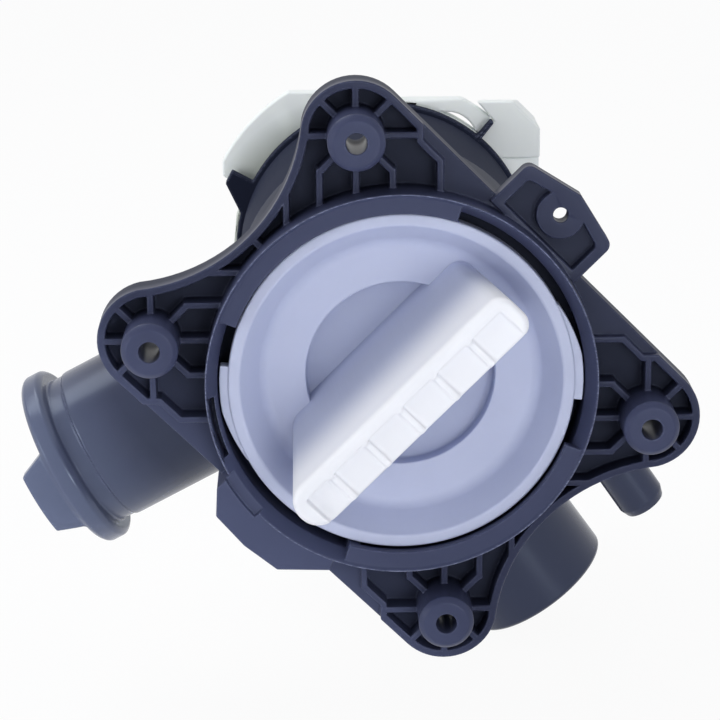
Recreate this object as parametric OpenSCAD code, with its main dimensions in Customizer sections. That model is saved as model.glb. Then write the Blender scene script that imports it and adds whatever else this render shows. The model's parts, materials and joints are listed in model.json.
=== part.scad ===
// Washer drain pump: a filter housing with a bayonet lint filter, an impeller chamber and a motor
// Depth runs along +Y from the faces of the mounting bosses, with +X right and +Z up from the front

/* [Mounting flange] */
// Long side of the boss rectangle
pattern_long = 83.3; // [80:0.1:88]
// Short side of the boss rectangle
pattern_short = 58.4; // [55:0.1:63]
// Angle of the boss rectangle's long side
pattern_angle = -45; // [-50:1:-40]
// Outer diameter of a boss
boss_d = 11.4; // [10:0.1:13]
// Hole through a boss
boss_hole_d = 4.2; // [3.2:0.1:5]
// Chamfer round a boss face
boss_chamfer = 1.1; // [0.5:0.1:1.8]
// Height of a boss above the ribs
boss_rise = 8; // [6:0.1:9]
// Radius of a flange lobe
lobe_r = 10.9; // [9.8:0.1:12.5]
// Thickness of the flange over its ribs
flange_depth = 7; // [6:0.1:9]
// Floor left under the pockets
pocket_floor = 2.4; // [1.6:0.1:3]
// Wall round the flange
flange_wall = 1.6; // [1.2:0.1:2.2]
// Thickness of a rib
rib_t = 1.3; // [0.8:0.1:2]
// Distance from the middle rib of a lobe to its side ribs
rib_pitch = 7.25; // [6.5:0.05:8]
// Distance from a boss to the pocket wall on its straight side
pocket_side = 16; // [14:0.1:18]
// Distance from a boss to the cross rib on its waist side
waist_rib = 13.9; // [12:0.1:15]
// Web left outside the neck at the waist of the flange
waist_web = 3.05; // [2.6:0.05:4]
// Distance of the plain webs behind the rib fronts
web_inset = 1.5; // [0.5:0.1:3]
// Width of a plain web where it runs on beside a lobe
web_rim = 2.2; // [1.4:0.1:3]
// Run of the slope where a plain web narrows
web_run = 4; // [2:0.1:5]

/* [Bracket lug] */
// Reach of the bracket beyond the flange edge
bracket_reach = 11.8; // [11:0.1:14]
// Height of the bracket shoulders beyond the flange edge
bracket_shoulder = 9; // [7:0.1:10]
// Width of the bracket
bracket_w = 24; // [20:0.1:28]
// Distance of the bracket's middle from the middle of the long side
bracket_side = -1.4; // [-4:0.1:2]
// Thickness of the bracket
bracket_t = 4; // [3:0.1:5]
// Wall round the bracket
bracket_wall = 2.3; // [1.6:0.1:2.6]
// Rounding of the bracket shoulders
bracket_round = 2; // [1:0.1:3]
// Hole in the bracket
bracket_hole_d = 3; // [2.4:0.1:4]
// Outer diameter of the bracket boss
bracket_boss_d = 9.8; // [8:0.1:10]
// Distance of the bracket hole beyond the flange edge
bracket_hole_out = 6.2; // [5.6:0.1:6.6]

/* [Neck] */
// Distance of the neck front behind the boss faces
neck_front = 2.6; // [1:0.1:4]
// Wall of the neck round the cap
neck_wall = 2.5; // [2:0.1:3.2]
// Width of the flat edge outside the lead-in of the neck
lead_edge = 0.4; // [0.3:0.1:1]
// Depth of the lead-in of the neck
lead_depth = 3.3; // [2:0.1:4]
// Room between the cap and what it turns in
lug_room = 0.35; // [0.3:0.05:0.6]
// Room between the lugs and the retaining ramps, along the axis
ramp_room = 0.6; // [0.4:0.1:0.8]
// Distance of the ramps behind the neck front
ramp_inset = 0.5; // [0.3:0.1:0.8]
// Depth of the lug groove behind the neck front
groove_depth = 11.4; // [10:0.1:14]
// Wall of the shoulder behind the groove
shoulder_t = 3; // [2:0.1:4]
// Angle that a ramp covers
ramp_sweep = 83; // [70:1:86]
// Angle that a stop covers
stop_sweep = 4; // [3:1:6]
// Angle between a stop and a fully turned lug
stop_room = 2; // [1:0.5:3]
// Reach of the stiffening block at the lower left of the neck
block_reach = 7; // [5:0.1:8]
// Angle of the middle of the stiffening block
block_angle = -132; // [-136:1:-128]
// Angle that the stiffening block covers
block_sweep = 42; // [36:1:46]
// Wall left outside the slot above the stiffening block
slot_edge = 0.6; // [0.5:0.05:0.7]
// Width of the slot above the stiffening block
slot_w = 1.1; // [0.8:0.1:1.2]
// Depth of the slot above the stiffening block
slot_depth = 6; // [4:0.1:8]
// Angle that the slot above the stiffening block covers
slot_sweep = 19; // [15:1:22]
// Angle between the slot and the stiffening block
slot_space = 5; // [4:1:8]
// Depth of the step in the front of the stiffening block
step_depth = 1.5; // [1:0.1:2]
// Angle that the step in the stiffening block covers
step_sweep = 15; // [10:1:18]
// Width of the step beyond the neck
step_out = 1; // [0.6:0.1:1.6]

/* [Filter] */
// Diameter of the cap rim
cap_d = 70; // [69:0.1:72]
// Distance of the cap rim behind the neck front
cap_inset = 2.7; // [2.4:0.1:3.4]
// Width of the flat rim
rim_w = 2.4; // [1.8:0.1:3]
// Depth of the dish behind the rim
dish_depth = 7.2; // [6:0.1:8]
// Run of the sloping dish wall
dish_run = 4.4; // [3.5:0.1:5]
// Diameter of the middle recess
recess_d = 38.6; // [34:0.1:42]
// Depth of the middle recess below the dish
recess_depth = 3.5; // [2:0.1:4]
// Wall of the cap
cap_wall = 1.8; // [1.4:0.1:2.2]
// Thickness of a lug
lug_t = 3; // [2.4:0.1:3.6]
// Reach of a lug beyond the rim
lug_reach = 1.7; // [1.3:0.1:2]
// Angle where the right lug starts
lug_start = -12; // [-14:1:-10]
// Angle that a lug covers
lug_sweep = 32; // [26:1:34]
// Angle that the cap turns to lock
turn_angle = 90; // [80:1:95]
// Length of the cap behind its rim front
skirt_len = 18.4; // [17.5:0.1:21]
// Room between the skirt and the chamber
skirt_room = 0.6; // [0.5:0.1:0.9]
// Thickness of the cap seal
seal_d = 3; // [2.6:0.1:3.4]
// Room between the cap seal and the chamber
seal_room = 0.1; // [0.05:0.05:0.2]
// Room round the cap seal in its groove
seal_slack = 0.15; // [0.1:0.05:0.3]
// Land behind the seal groove
seal_land = 1.6; // [1.2:0.1:2.4]
// Diameter of the stem that the basket hangs on
stem_d = 16; // [12:0.1:18]
// Running room of the stem
stem_room = 0.05; // [0.03:0.01:0.08]
// Room along the axis between cap and basket
turn_room = 0.4; // [0.3:0.05:0.6]
// Reach of the stem head over the basket plate
stem_head = 1.4; // [1:0.1:2]
// Thickness of the stem head
stem_head_t = 2; // [1.5:0.1:3]

/* [Grip] */
// Height of the grip in front of the rim
grip_rise = 22.3; // [16:0.1:26]
// Length of the grip at its front
grip_len = 61; // [56:0.1:61]
// Length that the grip loses from its front to the dish
grip_taper = 9; // [9:0.1:14]
// Width of the grip front
grip_front_w = 9.5; // [8.6:0.1:11]
// Width of the grip at the rim plane
grip_base_w = 16; // [13:0.1:18]
// Angle of the grip
grip_angle = 45; // [35:1:55]
// Number of finger pockets in the grip
grip_pockets = 6; // [3:1:6]
// Pitch of the finger pockets
grip_pitch = 9.4; // [8:0.1:9.6]
// Rib between two finger pockets
grip_rib = 1.4; // [1:0.1:2]
// Width of a finger pocket
grip_pocket_w = 6.8; // [5:0.1:7.2]
// Depth of a finger pocket
grip_pocket_depth = 2.5; // [1.5:0.1:4]
// Step in at the foot of the grip
grip_foot = 0.4; // [0.2:0.1:0.8]

/* [Lint basket] */
// Room between the basket and the chamber
basket_room = 3; // [2.5:0.1:6]
// Wall of the basket
basket_wall = 1.8; // [1.4:0.1:2.4]
// Thickness of the basket plate
plate_t = 2.4; // [2:0.1:3.2]
// Length of the basket
basket_len = 48; // [42:0.1:52]
// Number of slots round the basket
basket_slots = 10; // [8:1:12]
// Width of a basket slot
basket_slot_w = 11; // [8:0.1:11.5]
// Solid band at the ends of the slots
basket_band = 4; // [3:0.1:6]
// Room between the basket plate and the chamber
plate_room = 0.3; // [0.3:0.05:0.5]
// Width of a guide rail in the chamber
rail_w = 3; // [2:0.1:4]
// Height of a guide rail
rail_h = 1.2; // [1:0.1:1.4]
// Room between a guide rail and the basket plate
rail_room = 0.35; // [0.3:0.05:0.5]

/* [Chamber and casing] */
// Width of the shoulder that the cap rim covers
seat_w = 2; // [1.7:0.1:2.3]
// Wall of the filter chamber and casing
chamber_wall = 2; // [1.8:0.1:2.4]
// Depth of the casing front behind the boss faces
casing_front = 80; // [80:0.1:84]
// Wall between the filter chamber and the impeller
divider_t = 3; // [2:0.1:3.4]
// Eye that feeds the impeller
eye_d = 26; // [20:0.5:30]
// Length of the pump casing
casing_len = 37; // [37:0.1:42]

/* [Inlet] */
// Outer diameter of the inlet
inlet_d = 35.8; // [33:0.1:36]
// Wall of the inlet
inlet_wall = 2.2; // [1.9:0.1:3]
// Direction of the inlet
inlet_angle = 207.8; // [204:0.1:212]
// Distance of the inlet line from the filter axis
inlet_offset = -3.9; // [-6:0.1:0]
// Depth of the inlet line
inlet_depth = 61.8; // [58:0.1:62]
// Distance from the filter axis to the inlet bead
inlet_reach = 76.2; // [72:0.1:84]
// Diameter of the inlet bead
bead_d = 41.6; // [38:0.1:42.4]
// Length of the inlet bead
bead_len = 5.2; // [3.6:0.1:8]
// Rounding at the ends of the inlet bead
bead_round = 1; // [0.8:0.1:1.6]
// Width of the groove in front of the bead
neck_groove_w = 4; // [2.5:0.1:5]
// Depth of the groove in front of the bead
neck_groove_cut = 0.4; // [0.3:0.1:1]
// Length of the locating tongue beyond the bead
tongue_len = 5.8; // [3:0.1:7]
// Width of the tongue where it leaves the bead
tongue_root_w = 20; // [15:0.1:22]
// Width of the tongue at its tip
tongue_tip_w = 14.2; // [10:0.1:15]
// Distance of the tongue's middle from the inlet line
tongue_side = 1.4; // [-4:0.1:3]
// Thickness of the tongue
tongue_t = 3; // [2:0.1:3.4]

/* [Outlet and nipple] */
// Outer diameter of the outlet
outlet_d = 36.8; // [34:0.1:37]
// Wall of the outlet
outlet_wall = 2.8; // [2:0.1:3.2]
// Direction of the outlet
outlet_angle = -54.6; // [-58:0.1:-52]
// Distance of the outlet line from the filter axis
outlet_offset = -16.4; // [-16.4:0.1:-14]
// Distance from the casing front to the outlet line
outlet_back = 18.5; // [18.4:0.1:18.6]
// Distance from the filter axis to the outlet end
outlet_reach = 87.6; // [78:0.1:94]
// Softened edge at the outlet end
outlet_edge = 0.8; // [0.4:0.1:1.2]
// Length of the hose seat at the outlet end
outlet_seat = 30; // [20:0.1:34]
// Height of the ring that stops a hose
stop_rise = 0.8; // [0.4:0.1:1.5]
// Width of the ring that stops a hose
stop_w = 2; // [1.2:0.1:3]
// Outer diameter of the nipple
nipple_d = 10.8; // [10.2:0.1:12]
// Wall of the nipple
nipple_wall = 1.3; // [1:0.1:1.4]
// Direction of the nipple
nipple_angle = -55.5; // [-58:0.1:-52]
// Distance of the nipple line from the filter axis
nipple_offset = 22; // [18:0.1:24]
// Depth of the nipple line
nipple_depth = 52; // [46:0.1:60]
// Distance from the filter axis to the nipple end
nipple_reach = 68; // [60:0.1:76]
// Depth of the lead-in at the nipple end
nipple_chamfer = 0.8; // [0.5:0.1:0.9]
// Length of the lead-in at the nipple end
nipple_lead = 2.2; // [0.6:0.1:3]
// Length of the hose seat at the nipple end
nipple_seat = 21; // [12:0.1:22]

/* [Motor flange] */
// Radius of the motor flange lip
lip_r = 36.1; // [35.8:0.1:37]
// Thickness of the motor flange lip
lip_t = 3.2; // [2.8:0.1:4]
// Length of the flange register in the casing
register_len = 3.6; // [3.4:0.1:4.4]
// Wall of the plate that closes the casing
plate_wall = 2.4; // [2:0.1:3]
// Room between register and casing
register_room = 0.2; // [0.15:0.05:0.4]
// Width of the flange seal
flange_seal_w = 1.6; // [1.3:0.1:1.8]
// Room between the flange seal and the casing
flange_seal_room = 0.05; // [0.02:0.01:0.1]
// Width of a hook tab at its tip
hook_w = 3.4; // [2:0.1:6]
// Run of the sloping side of a hook tab
hook_run = 5.4; // [3:0.1:7]
// Reach of a hook tab beyond the lip
hook_reach = 5.7; // [3:0.1:6.4]
// Angle of the straight side of the visible hook tab
hook_angle = 151.5; // [146:0.5:156]
// Thickness of the guide fin
fin_t = 1; // [0.8:0.1:1.6]
// Reach of the guide fin beyond the lip
fin_reach = 5; // [3:0.1:6]

/* [Rotor] */
// Diameter of the rotor shaft
shaft_d = 4; // [3:0.1:5]
// Running room of the shaft in its bearings
shaft_room = 0.04; // [0.02:0.01:0.08]
// Room of the shaft where it isn't guided
shaft_gap = 0.4; // [0.3:0.05:0.6]
// Wall of a bearing bush
bush_wall = 3; // [2:0.1:3.4]
// Length of the front bearing
front_bush_len = 10; // [8:0.1:10.4]
// Length of the rear bearing
rear_bush_len = 5; // [4:0.1:6]
// Length of the shaft seal
shaft_seal_len = 3; // [2:0.1:3]
// Wall of the hub round the front bearing
hub_wall = 2; // [1.5:0.1:3]
// Diameter of the rotor magnet
magnet_d = 24; // [20:0.1:24]
// Length of the rotor magnet
magnet_len = 30; // [28:0.1:32]
// Gap between magnet and rotor sleeve
magnet_room = 0.6; // [0.4:0.1:0.8]
// Wall of the rotor sleeve
can_wall = 1.4; // [1:0.1:1.6]
// Distance from the motor flange to the magnet
magnet_back = 8.8; // [8.6:0.1:10]
// Thickness of the thrust washer
washer_t = 1; // [0.6:0.1:1.4]
// Radius of the thrust washer beyond the shaft
washer_w = 2.4; // [1.5:0.1:4]
// End float of the rotor
end_float = 0.4; // [0.3:0.05:0.5]

/* [Impeller] */
// Diameter of the impeller
impeller_d = 42; // [36:0.5:48]
// Height of the impeller blades
blade_h = 18; // [14:0.1:19]
// Thickness of an impeller blade
vane_t = 2; // [1.5:0.1:3]
// Number of impeller blades
vanes = 5; // [4:1:6]
// Thickness of the impeller disc
disc_t = 2; // [1.5:0.1:2.5]
// Distance from the impeller to the plate behind it
impeller_room = 1.4; // [1:0.1:2]
// Diameter of the impeller hub
hub_d = 17; // [15.5:0.1:18]
// Height of the hub in front of the blades
hub_rise = 0.6; // [0.4:0.1:1]
// Radius of the driver inside the hub
dog_r = 5.6; // [5:0.1:5.8]
// Angle that the driver and its stop each cover
dog_sweep = 40; // [30:1:44]
// Length of the driver
dog_len = 7; // [5:0.1:8]
// Wall of the driver's collar
dog_collar = 1.2; // [0.8:0.1:1.4]
// Room round the driver
dog_room = 0.4; // [0.3:0.05:0.5]
// Thickness of the impeller clip
clip_t = 1; // [0.6:0.1:1.4]
// Radius of the clip beyond the shaft
clip_w = 2; // [1:0.1:3]

/* [Stator] */
// Thickness of the lamination stack
stack_len = 24; // [20:0.1:24]
// Room between the windings and the cover
winding_room = 2.6; // [1:0.1:3]
// Width of a core leg
leg_w = 13; // [12:0.1:14]
// Room between the core and the top of the cover
core_room = 0.7; // [0.5:0.1:1.5]
// Reach of the core below the shaft
core_bottom = 62; // [58:0.1:63]
// Gap between the sleeve and a pole
pole_room = 0.3; // [0.2:0.05:0.5]
// Room of a bobbin on its leg
bobbin_room = 0.1; // [0.05:0.05:0.2]
// Wall of a bobbin
bobbin_wall = 1; // [0.8:0.1:1.2]
// Depth of wire on a bobbin
winding_t = 4; // [3:0.1:4.1]
// Distance from the pole bore to a bobbin
bobbin_gap = 3; // [2:0.1:6]
// Diameter of a screw
screw_d = 3; // [2.5:0.1:3.5]
// Diameter of a screw head
screw_head_d = 5.2; // [4.6:0.1:5.4]
// Height of a screw head
screw_head_h = 2; // [1.5:0.1:2.5]
// Room of a screw in a hole that it passes through
screw_room = 0.1; // [0.05:0.05:0.2]
// Wall of a screw post
post_wall = 1.6; // [1.2:0.1:2]
// Distance of the upper core screws from the core edges
screw_edge = 4.5; // [4:0.1:5]
// Bite of a screw in the motor frame
screw_bite = 4; // [3:0.1:5]

/* [Motor frame and cover] */
// Half width of the motor frame
frame_half = 38.3; // [37.6:0.1:41]
// Height of the motor frame above the shaft
frame_top = 38.2; // [38:0.1:39.5]
// Drop of the latch arm below the top of the motor frame
arm_drop = 1.9; // [1.2:0.1:2]
// Where the latch arm leaves the top of the motor frame
arm_root = -6; // [-12:0.1:0]
// Radius of the round upper left corner of the motor frame
corner_r = 44.6; // [43:0.1:46]
// Distance from the shaft to the left side of the round corner
corner_side = 39.2; // [38.8:0.1:40.4]
// Corner cut of the motor frame
frame_corner = 16; // [12:0.1:17]
// Thickness of the motor frame
frame_t = 5.8; // [5.4:0.1:6]
// Flat front of the motor frame beyond the lip
frame_front = 0.4; // [0.2:0.1:1]
// Room between the sleeve and the motor frame
frame_room = 0.3; // [0.2:0.05:0.5]
// Angle of the latch arm's end
latch_angle = 50; // [46:0.5:52]
// Radius of the latch arm's outer side
latch_r = 41.1; // [39.5:0.1:42]
// Width of the slit under the latch arm
latch_slit = 1.4; // [1:0.1:2]
// Radius of the slit's outer side
slit_bow = 7.6; // [6:0.1:9]
// Angle from the latch arm's end to the middle of the slit
slit_turn = 9; // [8.5:0.5:12]
// Distance of the slit beyond the lip
slit_gap = 0.1; // [0.1:0.1:0.6]
// Gap between the latch arm and the connector block, as an angle
latch_gap = 1; // [0.5:0.1:1.5]
// Width of the notch between latch arm and connector block
notch_w = 3.6; // [2:0.1:5]
// Wall of the motor cover
cover_wall = 1.8; // [1.4:0.1:2]
// Distance of the screw ears inside the frame edge
ear_inset = 0.1; // [0:0.1:0.4]
// Gap between the motor cover and the connector block above it
cover_gap = 2.7; // [1.7:0.1:3]
// Reach of the motor cover below the shaft
cover_bottom = 66; // [65.5:0.1:70]
// Length of the motor cover
cover_len = 44; // [43.5:0.1:50]
// Corner cut of the motor cover
cover_corner = 4; // [2:0.1:4.5]
// Width of an air slot in the cover
vent_w = 3; // [2:0.1:4]
// Length of an air slot in the cover
vent_len = 34; // [20:0.1:40]
// Pitch of the air slots
vent_pitch = 8; // [6:0.1:9]
// Number of air slots
vent_count = 5; // [3:1:6]
// Width of a screw ear
ear_w = 5.6; // [5.4:0.1:5.6]
// Length of a screw ear
ear_len = 9; // [7:0.1:12]
// Thickness of a screw ear
ear_t = 2.4; // [2:0.1:3]
// Distance of the upper ears below the shaft
ear_high = 8; // [5:0.1:12]
// Distance of the lower ears below the shaft
ear_low = 50; // [30:0.1:58]

/* [Connector] */
// Width of the connector block
socket_w = 16; // [15.6:0.1:16.4]
// Height of the connector block
socket_h = 14; // [13.6:0.1:15]
// Height of the top of the connector block above the shaft
socket_top = 35.8; // [35:0.1:36.5]
// Depth of the connector block
socket_len = 15; // [14:0.1:26]
// Length of the level top of the connector block
socket_level = 2; // [1:0.1:4]
// Fall of the top of the connector block towards its mouth
socket_fall = 2.6; // [1:0.1:3]
// Corner cut of the connector block
socket_corner = 6.7; // [6:0.1:7]
// Wall of the connector block
socket_wall = 1.6; // [1.2:0.1:2]
// Floor of the connector block
socket_floor = 4; // [3:0.1:5]
// Width of a terminal blade
blade_w = 2.8; // [2:0.1:3.2]
// Thickness of a terminal blade
blade_t = 0.8; // [0.5:0.1:1]
// Pitch of the terminal blades
blade_pitch = 5; // [4:0.1:5.4]
// Distance of the blade tips inside the connector mouth
blade_inset = 4.6; // [4.4:0.1:7]

/* [Hidden] */
$fn = 96;

// Overlap that keeps cuts and joined solids clean
eps = 0.5;
// Length that passes clear of the whole pump
far = 300;

dark = "#2b2d3a";
pale = "#c9cfe0";
ivory = "#d9ddc8";
rubber = "#1b1b1e";
steel = "#a9adb3";
copper = "#b5652b";
brass = "#c9a653";

// Chamber and casing
cap_r = cap_d / 2;
chamber_r = cap_r - seat_w;
chamber_ro = chamber_r + chamber_wall;
motor_y = casing_front + casing_len;

// Neck and cap
lug_r = cap_r + lug_reach;
neck_r = lug_r + lug_room;
neck_ro = neck_r + neck_wall;
neck_mid = neck_r + neck_wall / 2;
block_start = block_angle - block_sweep / 2;
lead_w = neck_wall - lead_edge;
ramp_ro = neck_ro - lead_edge / 2;
rim_y = neck_front + cap_inset;
lug_y = rim_y + ramp_room;
lug_end = lug_y + lug_t;
shoulder_y = neck_front + groove_depth;
ramp_ri = cap_r + lug_room;
ramp_y = neck_front + ramp_inset;
stop_at = lug_start - turn_angle - stop_room;
skirt_r = chamber_r - skirt_room;
skirt_y = rim_y + skirt_len;
dish_y = rim_y + dish_depth;
dish_r = cap_r - rim_w - dish_run;
recess_y = dish_y + recess_depth;
recess_r = recess_d / 2;
seal_ro = chamber_r - seal_room;
seal_mid = seal_ro - seal_d / 2;
seal_groove_r = seal_ro - seal_d - seal_slack;
seal_groove_end = skirt_y - seal_land;
seal_groove_y = seal_groove_end - seal_d - 2 * seal_slack;
skirt_ri = seal_groove_r - cap_wall;
stem_r = stem_d / 2;

// Basket
plate_y = skirt_y + turn_room;
plate_end = plate_y + plate_t;
plate_r = chamber_r - plate_room;
basket_r = chamber_r - basket_room;
basket_end = plate_y + basket_len;
head_y = plate_end + turn_room;
rail_y = plate_y + turn_room;

// Flange
boss_r = boss_d / 2;
rib_y = boss_rise;
back_y = rib_y + flange_depth;
floor_y = back_y - pocket_floor;
edge_b = pattern_short / 2 + lobe_r;
waist_r = neck_ro + waist_web;
waist_q = waist_r - pattern_long / 2;
// The hollow side bites a hair into the lobes that it runs into
waist_bite = 0.06;
waist_k = lobe_r - waist_bite;
waist_arc_r = (pow(pattern_short / 2, 2) + pow(waist_q, 2) - pow(waist_k, 2)) / (2 * (waist_k - waist_q));
lobe_c = [pattern_long / 2, pattern_short / 2];
waist_c = [waist_r + waist_arc_r, 0];
waist_touch = lobe_c + lobe_r * (waist_c - lobe_c) / norm(waist_c - lobe_c);
// Turn from the boss rectangle to the ribs, which run square to the lobes
rib_turn = 45;

// Motor, from the casing backwards
flange_back = motor_y + lip_t;
register_y = motor_y - register_len;
shaft_r = shaft_d / 2;
bush_r = shaft_r + bush_wall;
hub_ro = bush_r + hub_wall;
magnet_r = magnet_d / 2;
can_ri = magnet_r + magnet_room;
can_ro = can_ri + can_wall;
magnet_y = flange_back + magnet_back;
magnet_end = magnet_y + magnet_len;
hub_back = magnet_y - washer_t - end_float;
front_bush_y = hub_back - front_bush_len;
shaft_seal_y = front_bush_y - shaft_seal_len;
rear_bush_y = magnet_end + end_float;
rear_bush_end = rear_bush_y + rear_bush_len;
can_end = rear_bush_end + can_wall;
flange_seal_y = register_y + (register_len - flange_seal_w) / 2;
flange_seal_ri = chamber_r - register_room - flange_seal_w;

// Impeller, from its disc forwards
impeller_r = impeller_d / 2;
hub_r = hub_d / 2;
impeller_back = register_y - impeller_room;
impeller_front = impeller_back - disc_t - blade_h;
cavity_r = dog_r + dog_room;
cavity_y = impeller_back - dog_len - 2 * dog_room;
dog_y = cavity_y + dog_room;
dog_end = dog_y + dog_len;
collar_r = shaft_r + dog_collar;
clip_end = impeller_front - end_float;
shaft_tip = clip_end - 2 * clip_t;
shaft_tail = rear_bush_end - end_float;

// Stator, frame and cover
stack_y = (magnet_y + magnet_end - stack_len) / 2;
stack_end = stack_y + stack_len;
stack_mid = stack_y + stack_len / 2;
spool = bobbin_room + bobbin_wall;
cover_half = frame_half - ear_w - ear_inset;
core_half = cover_half - cover_wall - winding_room - spool - winding_t;
core_w = 2 * core_half;
leg_mid = core_half - leg_w / 2;
pole_ri = can_ro + pole_room;
bobbin_low = -(core_bottom - leg_w);
bobbin_high = -(pole_ri + bobbin_gap);
screw_r = screw_d / 2;
screw_hole_r = screw_r + screw_room;
frame_y = flange_back;
frame_end = frame_y + frame_t;
cover_end = frame_end + cover_len;
ear_mid = cover_half + ear_w / 2;
front_r = lip_r + frame_front;
side_r = front_r + frame_front;
corner_end = hook_angle + atan2(hook_w, corner_r);
arm_top = frame_top - arm_drop;
arm_end = asin(arm_top / latch_r);
slit_ri = lip_r + slit_gap;
slit_mid = latch_angle + slit_turn;
socket_x = frame_half - socket_w;
socket_z = socket_top - socket_h;
cover_top = socket_z - cover_gap;
core_top = cover_top - cover_wall - core_room;
screw_spots = [
    [core_half - screw_edge, core_top - screw_edge],
    [leg_mid, -(core_bottom - leg_w / 2)]
];
cavity_x0 = latch_r * cos(latch_angle - latch_gap);
cavity_x1 = frame_half - socket_wall;
cavity_z0 = socket_z + socket_wall;
cavity_z1 = socket_top - socket_corner + socket_wall * (1 - sqrt(2));

function polar(r, a) = [r * cos(a), r * sin(a)];
function turned_point(a, p) = [p.x * cos(a) - p.y * sin(a), p.x * sin(a) + p.y * cos(a)];

// An outline in X and Z, drawn out between two depths
module slab(y0, y1) translate([0, y1, 0]) rotate([90, 0, 0]) linear_extrude(y1 - y0) children();
module rod(r, y0, y1) slab(y0, y1) circle(r);
module pipe_ring(ro, ri, y0, y1) slab(y0, y1) ring_outline(ro, ri);
module ring_outline(ro, ri) difference() {
    circle(ro);
    circle(ri);
}
// A profile of radius and depth, turned about the filter axis
module turned() rotate([-90, 0, 0]) rotate_extrude() children();
module at(p) translate([p.x, 0, p.y]) children();
// A wedge of less than half a turn
module wedge(a0, a1) polygon(concat([[0, 0]], [for (i = [0:4]) polar(far, a0 + (a1 - a0) * i / 4)]));
module opposite() for (a = [0, 180]) rotate([0, a, 0]) children();

// A frame whose x axis runs out along a spigot
module spigot_frame(angle, side, depth) rotate([0, -angle, 0]) translate([0, depth, side]) children();
module along_x(r, x0, x1) translate([x0, 0, 0]) rotate([0, 90, 0]) cylinder(r = r, h = x1 - x0);
module turned_x() rotate([0, 90, 0]) rotate_extrude() children();
module inlet_frame() spigot_frame(inlet_angle, inlet_offset, inlet_depth) children();
module outlet_frame() spigot_frame(outlet_angle, outlet_offset, casing_front + outlet_back) children();
module nipple_frame() spigot_frame(nipple_angle, nipple_offset, nipple_depth) children();

// The boss rectangle, with its long side along the first axis
module pattern() rotate(pattern_angle) children();
module each_corner() {
    corner_pair() children();
    mirror([1, 0]) corner_pair() children();
}
module corner_pair() {
    translate(-lobe_c) children();
    mirror([0, 1]) translate(-lobe_c) children();
}
module at_bosses() for (sx = [-1, 1], sy = [-1, 1])
    at(turned_point(pattern_angle, [sx * lobe_c.x, sy * lobe_c.y])) children();

// Flange outline: four lobes, straight long sides and hollow short sides
module flange_outline(inset) pattern() difference() {
    union() {
        square([pattern_long, 2 * (edge_b - inset)], center = true);
        each_corner() circle(lobe_r - inset);
        for (s = [-1, 1]) polygon([
            [s * lobe_c.x, -lobe_c.y], [s * waist_touch.x, -waist_touch.y],
            [s * waist_touch.x, waist_touch.y], [s * lobe_c.x, lobe_c.y]
        ]);
    }
    for (s = [-1, 1]) translate([s * waist_c.x, 0]) circle(waist_arc_r + inset);
}

// Plain webs along the two long sides, where the flange has no pockets
module plain_webs(side, rim) {
    e = turned_point(-rib_turn, [-lobe_c.x, lobe_c.y]).x + side;
    q = (edge_b - rim) * sqrt(2) - e;
    narrow = e - web_run;
    for (a = [0, 180]) rotate(pattern_angle + rib_turn + a) polygon([
        [e, e], [e, q], [narrow, q + web_run], [narrow, far],
        [far, far], [far, narrow], [q + web_run, narrow], [q, e]
    ]);
}
// Front of the plain webs, behind the walls of the pockets beside them
module web_recess() plain_webs(pocket_side + rib_t, web_rim);

module pocket_area() difference() {
    flange_outline(flange_wall);
    circle(neck_ro);
    plain_webs(pocket_side, web_rim + rib_t);
}

// A rib from the origin along the first axis
module rib(len) translate([0, -rib_t / 2]) square([len, rib_t]);

// Ribs of one lobe, drawn round its boss with the neck along the first axis
module lobe_ribs() {
    for (a = [90:45:270]) rotate(a) rib(lobe_r + rib_t);
    rib(pattern_short / 2);
    for (s = [-1, 1]) {
        rotate(45 * s) rib(rib_pitch * sqrt(2));
        translate([rib_pitch - rib_t / 2, s * rib_pitch]) rib(pattern_short / 2);
    }
    translate([0, waist_rib]) rib(pattern_short / 2);
}

module flange_ribs() pattern() {
    each_corner() rotate(rib_turn) lobe_ribs();
    square([2 * pattern_long, rib_t], center = true);
}

module flange() difference() {
    slab(rib_y, back_y) flange_outline(0);
    slab(rib_y - eps, floor_y) difference() {
        pocket_area();
        flange_ribs();
    }
    slab(rib_y - eps, rib_y + web_inset) web_recess();
    slab(rib_y + web_inset + pocket_floor, back_y + eps) intersection() {
        difference() {
            flange_outline(2 * flange_wall);
            circle(neck_ro);
        }
        web_recess();
    }
}

module boss() turned() polygon([
    [0, 0], [boss_r - boss_chamfer, 0], [boss_r, boss_chamfer], [boss_r, back_y], [0, back_y]
]);

function arc(c, r, a0, a1) = [for (i = [0:6]) c + polar(r, a0 + (a1 - a0) * i / 6)];
function mirrored(points) = [for (i = [len(points) - 1:-1:0]) [-points[i].x, points[i].y]];

// Bracket outline with round shoulders, on a root inside the flange wall
module bracket_outline(inset, root, r) translate([bracket_side, edge_b]) {
    half = bracket_w / 2 - inset;
    rise = atan2(bracket_reach - bracket_shoulder, half);
    c = [half - r, bracket_shoulder - inset + r * tan(rise) - r / cos(rise)];
    side = concat([[half, -root]], arc(c, r, 0, 90 - rise));
    polygon(concat(side, [[0, bracket_reach - inset]], mirrored(side)));
}
module bracket_hole_spot() translate([bracket_side, edge_b + bracket_hole_out]) children();

module bracket_lug() difference() {
    slab(rib_y, rib_y + bracket_t) pattern() bracket_outline(0, flange_wall, bracket_round);
    slab(rib_y - eps, rib_y + bracket_t - flange_wall) pattern() difference() {
        bracket_outline(bracket_wall, 0, bracket_round / 2);
        bracket_hole_spot() circle(d = bracket_boss_d);
    }
    slab(rib_y - eps, back_y) pattern() bracket_hole_spot() circle(d = bracket_hole_d);
}

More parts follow.
